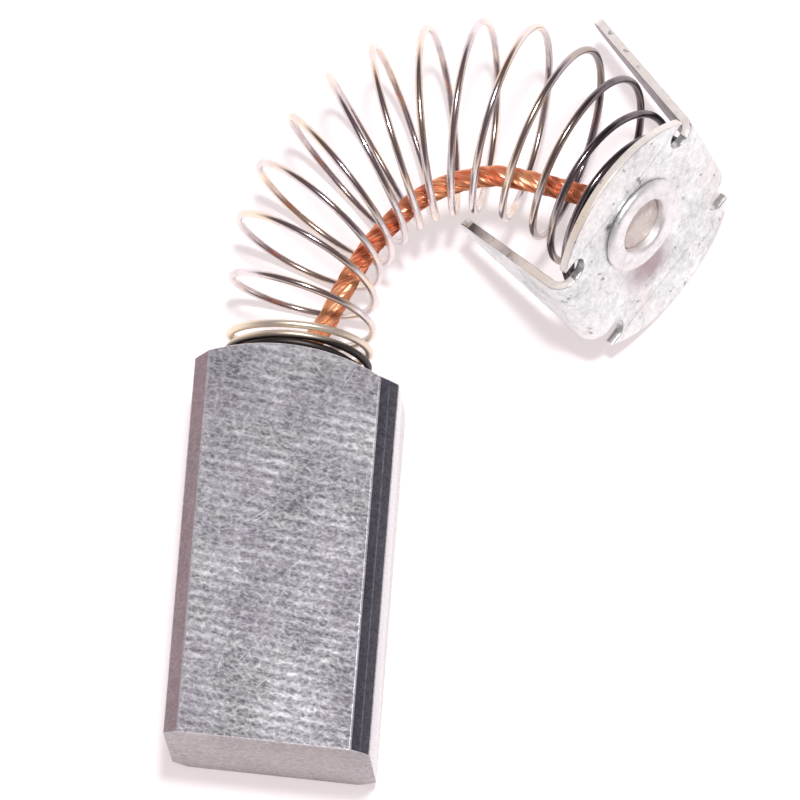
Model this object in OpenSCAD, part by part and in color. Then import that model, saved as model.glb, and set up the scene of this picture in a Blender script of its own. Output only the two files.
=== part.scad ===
// Carbon brush of a small commutator motor: a carbon block, a copper lead, a
// bent pressure spring and a folded terminal cap. Millimetres.
// The block lies on one wide face. The origin is the middle of that face, +Z is
// up and +Y runs from the contact face to the spring end.

/* [Carbon block] */
// Width of the block, across its two narrow sides
block_w = 11; // [9:0.1:12]
// Thickness of the block, between its two wide faces
block_t = 8; // [7.9:0.1:8.2]
// Length of the block along its middle
block_l = 21.75; // [21.6:0.05:21.8]
// Width of the bevels along the left edges
bevel_left = 0.8; // [0.3:0.01:1.5]
// Width of the bevels along the right edges
bevel_right = 0.97; // [0.3:0.01:1.5]
// How far the worn contact face is out of square, in degrees
front_skew = 2.6; // [0:0.1:6]
// Radius of the rounded spring end, seen from above
rear_radius = 11.3; // [9:0.1:16]
// How far the middle of that round stands to the left
rear_shift = 1.09; // [0:0.01:1.5]
// Width of the flat shoulder beside the round, on the right
shoulder_w = 1.05; // [0.8:0.05:1.6]
// Slope of that shoulder, in degrees
shoulder_skew = 9; // [0:1:20]
// Depth of the bore that holds the lead
lead_bore_depth = 7; // [4:0.5:12]
// Diameter of the bore that holds the lead
lead_bore_d = 2.4; // [1.8:0.1:3.2]

/* [Copper lead] */
// Diameter over the lead's strands
lead_d = 1.2; // [0.9:0.05:1.3]
// How deep the grooves between strands are, as a share of the lead's radius
strand_groove = 0.16; // [0:0.01:0.25]
// Number of strands seen round the lead
strands = 6; // [5:1:8]
// Length in which a strand makes one turn round the lead
strand_lay = 7; // [5:0.5:12]

/* [Pressure spring] */
// Diameter of the spring wire
wire_d = 0.42; // [0.36:0.01:0.44]
// Closed turns that lie on the block's end
closed_turns_block = 2.75; // [2.25:0.05:2.75]
// Closed turns that lie on the cap's plate
closed_turns_cap = 1.25; // [1:0.05:1.5]
// How far each end coil bites into what it presses on
seat_bite = 0.02; // [0.01:0.01:0.04]

/* [Terminal cap] */
// Thickness of the cap's sheet
sheet_t = 0.5; // [0.4:0.05:0.55]
// Radius of the cap's round plate
plate_r = 6.8; // [6.5:0.1:7.1]
// How far the eyelet stands above the plate's middle
eyelet_rise = 1.3; // [1:0.1:1.8]
// Width of the cap over the outsides of its two arms
cap_w = 12; // [11.9:0.1:12.4]
// Inside radius of the folds
fold_r = 0.6; // [0.3:0.05:0.9]
// Length of the arm away from the block, beyond its fold
far_arm_l = 10; // [6:0.1:10.5]
// Length of the arm beside the block, beyond its fold
near_arm_l = 8.2; // [6:0.1:8.6]
// Height of an arm at its fold
arm_root_h = 6.2; // [5:0.1:6.6]
// Height of an arm near its tip
arm_tip_h = 1.8; // [1.2:0.1:3]
// How far the arm away from the block splays outward, in degrees
far_arm_splay = 17; // [14:0.5:24]
// How far the arm beside the block leans inward, in degrees
near_arm_lean = 7; // [0:0.5:8]
// Width of the relief notches beside the folds
notch_w = 1.3; // [0.8:0.1:1.6]
// How far the notches reach into the plate beyond the folds
notch_depth = 0.35; // [0.1:0.05:0.8]
// Where the eyelet meets the plate's outer face: to the right of the block
cap_x = 17.75; // [17.7:0.05:17.85]
// The same point, towards the spring end
cap_y = 18.85; // [18.8:0.05:18.9]
// Heading of the cap about the vertical, in degrees
cap_turn = 57.2; // [56:0.1:58]
// How far the plate leans back from upright, in degrees
cap_lean = 17.7; // [17:0.1:18.5]

/* [Eyelet] */
// Diameter of the eyelet's outer flange
flange_d = 5.5; // [4.6:0.1:6.5]
// Height of the outer flange above the plate
flange_h = 0.4; // [0.25:0.05:0.6]
// Diameter of the hole through the eyelet
eyelet_bore_d = 3.16; // [2.4:0.02:3.4]
// Wall of the eyelet's barrel
eyelet_wall = 0.27; // [0.2:0.01:0.4]

/* [Hidden] */
$fn = 64;

// The block runs from front_y to rear_y along its middle.
front_y = -10.75;
rear_y = front_y + block_l;
mid_z = block_t / 2;
rear_centre = [-rear_shift, rear_y - sqrt(pow(rear_radius, 2) - pow(rear_shift, 2))];

// The plate's outward direction, and the eyelet's place on its outer face. The
// plate stands on the surface with the lower rim of its inner face.
plate_out = [cos(cap_lean) * sin(cap_turn), -cos(cap_lean) * cos(cap_turn), sin(cap_lean)];
cap_z = (plate_r + eyelet_rise) * cos(cap_lean) + sheet_t * sin(cap_lean);
cap_at = [cap_x, cap_y, cap_z];
barrel_d = eyelet_bore_d + 2 * eyelet_wall;
fold_x = cap_w / 2 - fold_r - sheet_t;
fold_steps = 12;
inner_flange_d = barrel_d + 1.1;
inner_flange_t = 0.25;
rim_r = 0.28;
rim_undercut = 0.08;
bore_chamfer = 0.12;
weld_back = -sheet_t - inner_flange_t;
weld_dip = 0.2;
arm_tip_angles = [-72:18:72];
rim_angles = [-20:22:90];

// How far cutting shapes run past what they cut.
over = 1;

// How far the packed powder stays below the block's end.
tamping_recess = 0.3;

// The lead's route: straight in its bore, then through the spring, and square to
// the plate for its last stretch before the eyelet.
lead_last_stretch = 1.8;
lead_route = [
    [0, rear_y - lead_bore_depth, mid_z], [0, rear_y - 3, mid_z], [0, rear_y, mid_z],
    [0.06, rear_y + 0.7, mid_z + 0.02], [1.15, 13.4, 4.4], [2.25, 15.8, 4.8], [3.75, 18.2, 5.3],
    [6.15, 20.4, 5.9], [9.35, 21.4, 6.5], [12.55, 20.9, 7.1],
    cap_at + (weld_back - lead_last_stretch) * plate_out, cap_at + weld_back * plate_out];
lead_rings = 84;
lobe_points = 3;

// Stations of the spring's middle line: turn count, point, coil radius, and the
// heading and rise of the way each coil faces. The first is the last closed turn
// on the block, and the last is the first closed turn on the plate.
coil_first = 0.5;
coil_last = 13;
spring_x = -0.25;
block_seat_y = rear_at(spring_x) + wire_d / 2 - seat_bite;
cap_seat = cap_at - (sheet_t + wire_d / 2 - seat_bite + closed_turns_cap * wire_d) * plate_out;
stations = [
    [coil_first, spring_x, block_seat_y + closed_turns_block * wire_d, mid_z + 0.05, 3.77, 90, 0],
    [3, 0.05, 18.15, 4.7, 4.25, 61, -8],
    [6, 3.65, 23.2, 5.7, 4.87, 26, 3],
    [9, 9.45, 24.7, 6.7, 5.24, -2, 12],
    [11, 14, 22.8, 7.35, 5.15, -17, 15],
    [coil_last, cap_seat.x, cap_seat.y, cap_seat.z, 4.75, cap_turn - 90, cap_lean]];
coil_steps = 20;
wire_sides = 8;

function unit(v) = v / norm(v);
function rear_at(x) = rear_centre.y + sqrt(pow(rear_radius, 2) - pow(x - rear_centre.x, 2));
function row_at(rows, i) = rows[max(0, min(len(rows) - 1, i))];

// Smooth curve through rows whose first value is the running parameter.
function slope_at(rows, i) =
    (row_at(rows, i + 1) - row_at(rows, i - 1)) / (row_at(rows, i + 1)[0] - row_at(rows, i - 1)[0]);
function span_of(rows, u, i = 0) = (i >= len(rows) - 2 || u <= rows[i + 1][0]) ? i : span_of(rows, u, i + 1);
function smooth_at(rows, u) =
    let (i = span_of(rows, u), a = rows[i], b = rows[i + 1], h = b[0] - a[0], t = (u - a[0]) / h)
    (2 * pow(t, 3) - 3 * pow(t, 2) + 1) * a + (pow(t, 3) - 2 * pow(t, 2) + t) * h * slope_at(rows, i)
    + (3 * pow(t, 2) - 2 * pow(t, 3)) * b + (pow(t, 3) - pow(t, 2)) * h * slope_at(rows, i + 1);

// A ring of points joined to the next, as one closed tube.
function tube_faces(rings, sides) = concat(
    [[for (j = [0:sides - 1]) j]],
    [for (i = [0:rings - 2], j = [0:sides - 1], half = [0, 1])
        let (here = i * sides, next = here + sides, k = (j + 1) % sides)
        half == 0 ? [here + j, next + j, here + k] : [next + j, next + k, here + k]],
    [[for (j = [sides - 1:-1:0]) (rings - 1) * sides + j]]);

// One row of the spring at a turn count: the closed turns go on past its ends.
function coil_row(u) =
    u < coil_first ? stations[0] - [coil_first - u, 0, (coil_first - u) * wire_d, 0, 0, 0, 0]
    : u > coil_last ? stations[len(stations) - 1] + (u - coil_last) * [1, wire_d * plate_out.x,
        wire_d * plate_out.y, wire_d * plate_out.z, 0, 0, 0]
    : smooth_at(stations, u);
function coil_axis(row) = [cos(row[5]) * cos(row[6]), sin(row[5]) * cos(row[6]), sin(row[6])];
function coil_spoke(row) =
    let (side = unit(cross(coil_axis(row), [0, 0, 1])), up = cross(side, coil_axis(row)))
    cos(360 * row[0]) * side + sin(360 * row[0]) * up;
function coil_point(u) =
    let (row = coil_row(u)) [row[1], row[2], row[3]] + row[4] * coil_spoke(row);

// Smooth route of the lead, by its points' numbers.
lead_rows = [for (i = [0:len(lead_route) - 1]) concat([i], lead_route[i])];
function lead_point(u) = let (row = smooth_at(lead_rows, u)) [row[1], row[2], row[3]];
function lead_length(i) = i == 0 ? 0 : lead_length(i - 1) + norm(lead_route[i] - lead_route[i - 1]);

// The block: a bevelled bar with a skewed contact face, a rounded spring end with a
// shoulder on its right, and a blind bore for the lead.
module carbon_block() color([0.55, 0.55, 0.58]) difference() {
    intersection() {
        block_bar();
        block_plan();
    }
    translate([0, rear_y - lead_bore_depth, mid_z])
        rotate([-90, 0, 0]) cylinder(h = lead_bore_depth + over, d = lead_bore_d);
}

module block_bar() {
    w = block_w / 2;
    translate([0, rear_y + over, 0]) rotate([90, 0, 0]) linear_extrude(block_l + 2 * over)
        polygon([[-w + bevel_left, 0], [w - bevel_right, 0], [w, bevel_right],
                 [w, block_t - bevel_right], [w - bevel_right, block_t],
                 [-w + bevel_left, block_t], [-w, block_t - bevel_left], [-w, bevel_left]]);
}

module block_plan() {
    w = block_w / 2 + over;
    skew = w * tan(front_skew);
    shoulder_x = block_w / 2 - shoulder_w;
    function shoulder_at(x) = [x, rear_at(shoulder_x) - (x - shoulder_x) * tan(shoulder_skew)];
    translate([0, 0, -over]) linear_extrude(block_t + 2 * over) intersection() {
        polygon([[-w, front_y + skew], [w, front_y - skew], [w, rear_y + over], [-w, rear_y + over]]);
        union() {
            translate([-w, front_y - w]) square([2 * w, rear_centre.y - front_y + w]);
            translate(rear_centre) circle(r = rear_radius, $fn = 128);
            polygon([[shoulder_x - over, rear_centre.y], [w, rear_centre.y], shoulder_at(w),
                     shoulder_at(shoulder_x - over)]);
        }
    }
}

// Packed powder that holds the lead in the block's bore.
module lead_tamping() color([0.42, 0.3, 0.26]) translate([0, rear_y - lead_bore_depth, mid_z])
    rotate([-90, 0, 0]) difference() {
        cylinder(h = lead_bore_depth - tamping_recess, d = lead_bore_d);
        translate([0, 0, -over]) cylinder(h = lead_bore_depth + 2 * over, d = lead_d);
    }

// The lead: one rope of twisted strands, swept along its route.
module copper_lead() color([0.72, 0.33, 0.2]) {
    last = len(lead_route) - 1;
    sides = strands * lobe_points;
    points = [for (i = [0:lead_rings - 1])
        let (u = last * i / (lead_rings - 1), here = lead_point(u),
             ahead = unit(lead_point(min(u + 0.02, last)) - lead_point(max(u - 0.02, 0))),
             side = unit(cross(ahead, [0, 0, 1])), up = cross(side, ahead),
             run = lead_length(floor(u)) + (u - floor(u)) * norm(row_at(lead_route, floor(u) + 1)
                 - lead_route[floor(u)]))
        for (j = [0:sides - 1])
            let (a = 360 * j / sides + 360 * run / strand_lay,
                 r = lead_d / 2 * (j % lobe_points == 0 ? 1 - strand_groove : 1))
            here + r * (cos(a) * up + sin(a) * side)];
    polyhedron(points, tube_faces(lead_rings, sides), convexity = 10);
}

// The spring: round wire on a bent, barrel-shaped, left-hand coil.
module pressure_spring() color([0.66, 0.64, 0.63]) {
    first = coil_first - closed_turns_block;
    last = coil_last + closed_turns_cap;
    rings = ceil((last - first) * coil_steps) + 1;
    points = [for (i = [0:rings - 1])
        let (u = first + (last - first) * i / (rings - 1), here = coil_point(u),
             ahead = unit(coil_point(u + 0.01) - coil_point(u - 0.01)),
             across = unit(cross(ahead, coil_spoke(coil_row(u)))), out = cross(across, ahead))
        for (j = [0:wire_sides - 1])
            let (a = 360 * (j + 0.5) / wire_sides)
            here + wire_d / 2 / cos(180 / wire_sides) * (cos(a) * out + sin(a) * across)];
    polyhedron(points, tube_faces(rings, wire_sides), convexity = 10);
}

// Puts the cap's own frame in place: x across the plate, y up it, z outward, with
// the eyelet's axis at the middle and the plate's outer face at z = 0.
module on_cap() translate(cap_at) rotate([0, 0, cap_turn]) rotate([90 - cap_lean, 0, 0]) children();

// The cap: a round plate and two tapering arms, folded back from one sheet.
module terminal_cap() color([0.84, 0.83, 0.82]) on_cap() translate([0, -eyelet_rise, 0]) difference() {
    union() {
        translate([0, 0, -sheet_t]) linear_extrude(sheet_t) plate_outline();
        fold_and_arm(90 - far_arm_splay, far_arm_l);
        mirror([1, 0, 0]) fold_and_arm(90 + near_arm_lean, near_arm_l);
    }
    translate([0, eyelet_rise, -sheet_t - over]) cylinder(h = sheet_t + 2 * over, d = barrel_d);
}

// The plate, cut back to the folds, with a slot on each side of both folds.
module plate_outline() difference() {
    circle(r = plate_r, $fn = 128);
    for (side = [0, 1], end = [0, 1]) mirror([side, 0, 0]) mirror([0, end, 0]) {
        translate([fold_x, -over]) square([plate_r, arm_root_h / 2 + 2 * over]);
        translate([fold_x - notch_depth, arm_root_h / 2]) square([plate_r, notch_w]);
        translate([fold_x - notch_depth, arm_root_h / 2 + notch_w / 2]) circle(d = notch_w, $fn = 32);
    }
}

// One fold through the given angle, and the tapering arm of the given length
// after it. The strip's own section is extruded, then cut to the arm's outline.
module fold_and_arm(angle, arm_l) intersection() {
    rotate([90, 0, 0]) linear_extrude(arm_root_h + 2 * over, center = true)
        fold_section(angle, arm_l);
    rotate([0, 90, 0]) linear_extrude(3 * cap_w, center = true) arm_outline(arm_l * sin(angle));
}

module fold_section(angle, arm_l) {
    middle = [fold_x, -fold_r - sheet_t];
    along = arm_l * [cos(angle), -sin(angle)];
    function round_at(r, a) = middle + r * [sin(a), cos(a)];
    polygon(concat([[fold_x - notch_depth / 2, 0]],
        [for (i = [0:fold_steps]) round_at(fold_r + sheet_t, angle * i / fold_steps)],
        [round_at(fold_r + sheet_t, angle) + along, round_at(fold_r, angle) + along],
        [for (i = [fold_steps:-1:0]) round_at(fold_r, angle * i / fold_steps)],
        [[fold_x - notch_depth / 2, -sheet_t]]));
}

// Seen from the side: straight past the fold, then narrowing to a round tip.
module arm_outline(reach) {
    tip_r = arm_tip_h / 2;
    tip_x = reach + fold_r + sheet_t - tip_r;
    polygon(concat([[-over, arm_root_h / 2], [-over, -arm_root_h / 2], [fold_r + sheet_t, -arm_root_h / 2]],
        [for (a = arm_tip_angles) [tip_x + tip_r * cos(a), tip_r * sin(a)]],
        [[fold_r + sheet_t, arm_root_h / 2]]));
}

// The eyelet: a barrel through the plate, with a flange on each side of it.
module cap_eyelet() color([0.86, 0.85, 0.83]) on_cap() rotate_extrude() polygon(concat(
    [[eyelet_bore_d / 2, weld_back], [inner_flange_d / 2, weld_back], [inner_flange_d / 2, -sheet_t],
     [barrel_d / 2, -sheet_t], [barrel_d / 2, 0]],
    [[flange_d / 2 - rim_undercut, 0]],
    [for (a = rim_angles) [flange_d / 2 - rim_r + rim_r * cos(a), flange_h - rim_r + rim_r * sin(a)]],
    [[eyelet_bore_d / 2 + bore_chamfer, flange_h], [eyelet_bore_d / 2, flange_h - bore_chamfer]]));

// The fused end of the lead, which fills the eyelet's barrel.
module lead_weld() color([0.85, 0.72, 0.64]) on_cap() rotate_extrude() polygon([
    [0, weld_back], [eyelet_bore_d / 2, weld_back], [eyelet_bore_d / 2, -weld_dip],
    [eyelet_bore_d * 0.4, -weld_dip * 0.4], [eyelet_bore_d * 0.2, 0], [0, weld_dip * 0.1]]);

carbon_block();
lead_tamping();
copper_lead();
pressure_spring();
terminal_cap();
cap_eyelet();
lead_weld();
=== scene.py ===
"""Studio scene of a carbon brush: block, tamping plug, copper lead, pressure spring and terminal cap."""

from __future__ import annotations

import logging
import math
import random
from collections.abc import Callable, Iterator
from contextlib import contextmanager
from dataclasses import dataclass
from enum import Enum
from typing import NamedTuple

import bmesh
import bpy
from mathutils import Matrix, Vector

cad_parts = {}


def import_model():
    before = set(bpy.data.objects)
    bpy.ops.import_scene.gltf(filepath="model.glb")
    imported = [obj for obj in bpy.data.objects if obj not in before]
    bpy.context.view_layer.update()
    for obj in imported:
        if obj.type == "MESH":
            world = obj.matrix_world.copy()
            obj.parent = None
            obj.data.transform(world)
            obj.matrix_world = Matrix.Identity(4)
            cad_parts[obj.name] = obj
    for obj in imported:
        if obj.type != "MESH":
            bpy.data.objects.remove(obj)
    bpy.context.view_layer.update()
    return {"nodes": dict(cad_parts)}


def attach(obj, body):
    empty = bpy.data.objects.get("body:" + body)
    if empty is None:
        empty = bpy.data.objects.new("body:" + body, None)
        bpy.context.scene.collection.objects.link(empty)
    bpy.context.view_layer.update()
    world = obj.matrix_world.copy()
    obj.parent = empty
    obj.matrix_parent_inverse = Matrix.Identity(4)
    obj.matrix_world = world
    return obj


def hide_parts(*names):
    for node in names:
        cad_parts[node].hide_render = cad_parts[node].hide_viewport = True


LOG = logging.getLogger("carbon_brush")
MM = 0.001
ROOT = "root"
Colour = tuple[float, float, float]

# A Mix node's sockets when it mixes colours.
MIX_SHARE, MIX_A, MIX_B, MIX_RESULT = 0, 6, 7, 2
# How far a layer's pattern moves for each degree of its turn, so that no two layers meet at the origin.
LAYER_SHIFT = (0.37, 0.61)
EVEN = (1, 1, 1)
ON_ITS_SIDE = (0.0, 90.0, 0.0)
ON_ITS_END = (90.0, 0.0, 0.0)
# Half the block's thickness, in millimetres.
BLOCK_MIDDLE = 4.0
# The direction, length and share of each layer of scratches on the carbon.
SCRATCH_LAYERS = ((-40, 5.0, 0.07), (48, 5.5, 0.05), (-78, 4.0, 0.04), (10, 4.5, 0.04), (-60, 6.5, 0.05))
SPECK: Colour = (0.15, 0.13, 0.13)
# Painted dark reflection on the spring's turns towards the cap.
PAINTED_DARK_REFLECTION: Colour = (0.055, 0.042, 0.058)
# Painted shade: the near-black that the spring and the lead take where they meet the block.
PAINTED_BLOCK_SHADE: Colour = (0.03, 0.024, 0.03)


# --- Hand tools -------------------------------------------------------------


class Part(Enum):
    """What is picked in edit mode."""

    VERTS = "VERT"
    EDGES = "EDGE"
    FACES = "FACE"


class Cut(Enum):
    """What a Boolean does with its tool."""

    DIFFERENCE = "DIFFERENCE"
    INTERSECT = "INTERSECT"
    UNION = "UNION"


def only(piece: bpy.types.Object) -> None:
    """Makes a piece the one selected and active object.

    Args:
        piece: The object to work on.
    """
    bpy.ops.object.select_all(action="DESELECT")
    piece.select_set(True)
    bpy.context.view_layer.objects.active = piece


def added(name: str) -> bpy.types.Object:
    """Names the primitive that was just added and applies its place to its mesh.

    Args:
        name: The new object's name.

    Returns:
        The object, at the origin, with its place in its mesh.
    """
    piece = bpy.context.object
    piece.name = piece.data.name = name
    only(piece)
    bpy.ops.object.transform_apply(location=True, rotation=True, scale=True)
    return piece


def box(name: str, middle: tuple[float, float, float], size: tuple[float, float, float]) -> bpy.types.Object:
    """Adds a box.

    Args:
        name: Its name.
        middle: Its middle, in millimetres.
        size: Its size along each axis, in millimetres.

    Returns:
        The box.
    """
    bpy.ops.mesh.primitive_cube_add(size=1, location=[part * MM for part in middle],
                                    scale=[part * MM for part in size])
    return added(name)


def rod(name: str, middle: tuple[float, float, float], radius: float, depth: float, sides: int,
        turn: tuple[float, float, float] = (0, 0, 0)) -> bpy.types.Object:
    """Adds a rod, upright unless it is turned.

    Args:
        name: Its name.
        middle: Its middle, in millimetres.
        radius: Its radius, in millimetres.
        depth: Its length, in millimetres.
        sides: Faces round it.
        turn: Its turn about each axis, in radians.

    Returns:
        The rod.
    """
    bpy.ops.mesh.primitive_cylinder_add(vertices=sides, radius=radius * MM, depth=depth * MM,
                                        location=[part * MM for part in middle], rotation=turn)
    return added(name)


@contextmanager
def editing(piece: bpy.types.Object, part: Part = Part.FACES) -> Iterator[None]:
    """Opens a piece in edit mode with nothing selected.

    Args:
        piece: The mesh object.
        part: What is picked.

    Yields:
        Nothing.
    """
    only(piece)
    bpy.ops.object.mode_set(mode="EDIT")
    bpy.ops.mesh.select_mode(type=part.value)
    bpy.ops.mesh.select_all(action="DESELECT")
    yield
    bpy.ops.object.mode_set(mode="OBJECT")


def pick(piece: bpy.types.Object, part: Part, test: Callable[..., bool]) -> None:
    """Selects the parts of a mesh that pass a test, and no others.

    Args:
        piece: The mesh object, in edit mode.
        part: What is picked.
        test: Takes a vertex's place, an edge's two ends, or a face's centre and normal.
    """
    mesh = bmesh.from_edit_mesh(piece.data)
    items, told = {
        Part.VERTS: (mesh.verts, lambda vert: (vert.co,)),
        Part.EDGES: (mesh.edges, lambda edge: (edge.verts[0].co, edge.verts[1].co)),
        Part.FACES: (mesh.faces, lambda face: (face.calc_center_median(), face.normal)),
    }[part]
    for item in items:
        item.select_set(False)
    for item in items:
        if test(*told(item)):
            item.select_set(True)
    mesh.select_flush_mode()
    bmesh.update_edit_mesh(piece.data)


def pull(piece: bpy.types.Object, test: Callable[[Vector], bool], by: tuple[float, float, float]) -> None:
    """Moves the vertices of a mesh that pass a test.

    Args:
        piece: The mesh object.
        test: Takes a vertex's place.
        by: How far they move, in millimetres.
    """
    with editing(piece, Part.VERTS):
        pick(piece, Part.VERTS, test)
        bpy.ops.transform.translate(value=[part * MM for part in by])


def carve(piece: bpy.types.Object, tool: bpy.types.Object, cut: Cut) -> None:
    """Applies a Boolean of one object on another, and removes the tool.

    Args:
        piece: The object that stays.
        tool: The object that cuts or is joined.
        cut: What is done with it.
    """
    only(piece)
    change = piece.modifiers.new("carve", "BOOLEAN")
    change.operation = cut.value
    change.solver = "EXACT"
    change.object = tool
    bpy.ops.object.modifier_apply(modifier=change.name)
    bpy.data.objects.remove(tool)


def soften(piece: bpy.types.Object, width: float, segments: int, over_angle: float) -> None:
    """Rounds a piece's sharp edges with an applied Bevel modifier.

    Args:
        piece: The mesh object.
        width: The bevel's width, in metres.
        segments: Faces across the bevel.
        over_angle: Edges sharper than this are rounded, in degrees.
    """
    only(piece)
    bevel = piece.modifiers.new("soften", "BEVEL")
    bevel.width = width
    bevel.segments = segments
    bevel.limit_method = "ANGLE"
    bevel.angle_limit = math.radians(over_angle)
    bevel.use_clamp_overlap = False
    bpy.ops.object.modifier_apply(modifier=bevel.name)


def smooth(piece: bpy.types.Object, angle: float) -> None:
    """Shades a piece smooth up to an angle, in degrees."""
    only(piece)
    bpy.ops.object.shade_smooth_by_angle(angle=math.radians(angle))


def tidy_mesh(piece: bpy.types.Object, distance: float = 1e-7) -> None:
    """Merges doubles and turns all faces outward.

    Args:
        piece: The mesh object.
        distance: Vertices closer than this are merged, in metres.
    """
    with editing(piece):
        bpy.ops.mesh.select_all(action="SELECT")
        bpy.ops.mesh.remove_doubles(threshold=distance)
        bpy.ops.mesh.normals_make_consistent(inside=False)


def turned(name: str, rings: list[tuple[float, float]], closed: bool, sides: int = 96) -> bpy.types.Object:
    """Models a round piece about Z by extruding and scaling one ring.

    Args:
        name: The piece's name.
        rings: Radius and height of each ring, in millimetres.
        closed: True if the last ring joins the first, as in a washer.
        sides: Faces round the piece.

    Returns:
        The new piece.
    """
    first = rings[0]
    bpy.ops.mesh.primitive_circle_add(vertices=sides, radius=first[0] * MM, fill_type="NOTHING",
                                      location=(0, 0, first[1] * MM))
    piece = added(name)
    with editing(piece, Part.EDGES):
        bpy.ops.mesh.select_all(action="SELECT")
        route = list(rings[1:]) + ([first] if closed else [])
        radius, height = first
        if not closed:
            bpy.ops.mesh.fill()
            pick(piece, Part.EDGES, lambda a, b: True)
        for next_radius, next_height in route:
            bpy.ops.mesh.extrude_region_move(
                TRANSFORM_OT_translate={"value": (0, 0, (next_height - height) * MM)})
            share = next_radius / radius
            bpy.ops.transform.resize(value=(share, share, 1), center_override=(0, 0, next_height * MM))
            radius, height = next_radius, next_height
        if not closed:
            bpy.ops.mesh.fill()
    tidy_mesh(piece)
    return piece


# --- Effects shared by the materials -----------------------------------------


class Effect(Enum):
    """The shader node groups that more than one finish uses."""

    MOTTLE = "mottle"
    NETWORK = "network"
    SCRATCHES = "scratches"


class Wiring:
    """A node tree, with short ways to add nodes and to join them."""

    def __init__(self, tree: bpy.types.NodeTree) -> None:
        """Takes up a node tree."""
        self.tree = tree

    def node(self, kind: str, values: dict[str | int, float | tuple[float, ...]] | None = None,
             **settings: str | bpy.types.NodeTree) -> bpy.types.Node:
        """Adds a node.

        Args:
            kind: Its kind, without ShaderNode in front.
            values: Its inputs' own values, by name or place.
            **settings: Its options.

        Returns:
            The node.
        """
        made = self.tree.nodes.new(f"ShaderNode{kind}")
        for option, choice in settings.items():
            setattr(made, option, choice)
        for key, value in (values or {}).items():
            made.inputs[key].default_value = value
        return made

    def join(self, source: bpy.types.NodeSocket, target: bpy.types.NodeSocket) -> None:
        """Joins an output to an input."""
        self.tree.links.new(source, target)

    def feed(self, target: bpy.types.NodeSocket, value: bpy.types.NodeSocket | Colour | float) -> None:
        """Joins a socket to an input, or gives the input a colour or number of its own.

        Args:
            target: The input.
            value: The socket, colour or number.
        """
        if isinstance(value, bpy.types.NodeSocket):
            self.join(value, target)
        else:
            target.default_value = (*value, 1) if isinstance(value, tuple) else value

    def mixed(self, share: bpy.types.NodeSocket | float, a: bpy.types.NodeSocket | Colour,
              b: bpy.types.NodeSocket | Colour) -> bpy.types.NodeSocket:
        """Mixes two colours.

        Args:
            share: How much of the second one shows.
            a: The first colour or a socket.
            b: The second colour or a socket.

        Returns:
            The colour output.
        """
        mix = self.node("Mix", data_type="RGBA")
        for key, value in ((MIX_SHARE, share), (MIX_A, a), (MIX_B, b)):
            self.feed(mix.inputs[key], value)
        return mix.outputs[MIX_RESULT]

    def maths(self, operation: str, a: bpy.types.NodeSocket | float,
              b: bpy.types.NodeSocket | float = 0.0) -> bpy.types.NodeSocket:
        """Works on one or two numbers or sockets.

        Args:
            operation: The Math node's operation.
            a: The first number or socket.
            b: The second one.

        Returns:
            The value output.
        """
        node = self.node("Math", operation=operation)
        self.feed(node.inputs[0], a)
        self.feed(node.inputs[1], b)
        return node.outputs[0]

    def added_up(self, *parts: tuple[bpy.types.NodeSocket, float]) -> bpy.types.NodeSocket:
        """Adds up values, each by its share.

        Args:
            *parts: The values with their shares.

        Returns:
            The sum.
        """
        total, *others = [self.maths("MULTIPLY", value, share) for value, share in parts]
        for other in others:
            total = self.maths("ADD", total, other)
        return total

    def ranged(self, value: bpy.types.NodeSocket, low: float, high: float,
               start: float = 0.0, end: float = 1.0) -> bpy.types.NodeSocket:
        """Maps a value from one range to another, and clamps it.

        Args:
            value: The socket to map.
            low: The value that gives start.
            high: The value that gives end.
            start: The first result.
            end: The last result.

        Returns:
            The result output.
        """
        node = self.node("MapRange", {"From Min": low, "From Max": high, "To Min": start, "To Max": end})
        self.join(value, node.inputs["Value"])
        return node.outputs["Result"]

    def split(self, vector: bpy.types.NodeSocket) -> bpy.types.NodeOutputs:
        """Takes a vector apart.

        Args:
            vector: The vector.

        Returns:
            Its X, Y and Z.
        """
        parts = self.node("SeparateXYZ")
        self.join(vector, parts.inputs["Vector"])
        return parts.outputs


class GroupBench(Wiring):
    """A shared effect that is being built: a node group that gives one value."""

    def __init__(self, effect: Effect, inputs: dict[str, float]) -> None:
        """Makes the group with its sockets.

        Args:
            effect: The effect that it gives.
            inputs: Its inputs with their values, besides the coordinates.
        """
        super().__init__(bpy.data.node_groups.new(effect.value, "ShaderNodeTree"))
        self._socket("Vector", "INPUT", "NodeSocketVector")
        for name, value in inputs.items():
            self._socket(name, "INPUT", "NodeSocketFloat").default_value = value
        self._socket("Value", "OUTPUT", "NodeSocketFloat")
        self.given = self.tree.nodes.new("NodeGroupInput").outputs
        self.result = self.tree.nodes.new("NodeGroupOutput").inputs["Value"]

    def _socket(self, name: str, way: str, kind: str) -> bpy.types.NodeTreeInterfaceSocket:
        """Adds a named socket to the group."""
        return self.tree.interface.new_socket(name=name, in_out=way, socket_type=kind)


def mottle_group() -> None:
    """Builds the group that gives soft patches between 0 and 1."""
    bench = GroupBench(Effect.MOTTLE, {"Scale": 5, "Detail": 4, "Low": 0.35, "High": 0.65})
    noise = bench.node("TexNoise", {"Roughness": 0.62})
    spread = bench.node("MapRange")
    for source, target in ((bench.given["Vector"], noise.inputs["Vector"]),
                           (bench.given["Scale"], noise.inputs["Scale"]),
                           (bench.given["Detail"], noise.inputs["Detail"]),
                           (noise.outputs["Fac"], spread.inputs["Value"]),
                           (bench.given["Low"], spread.inputs["From Min"]),
                           (bench.given["High"], spread.inputs["From Max"]),
                           (spread.outputs["Result"], bench.result)):
        bench.join(source, target)


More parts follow.
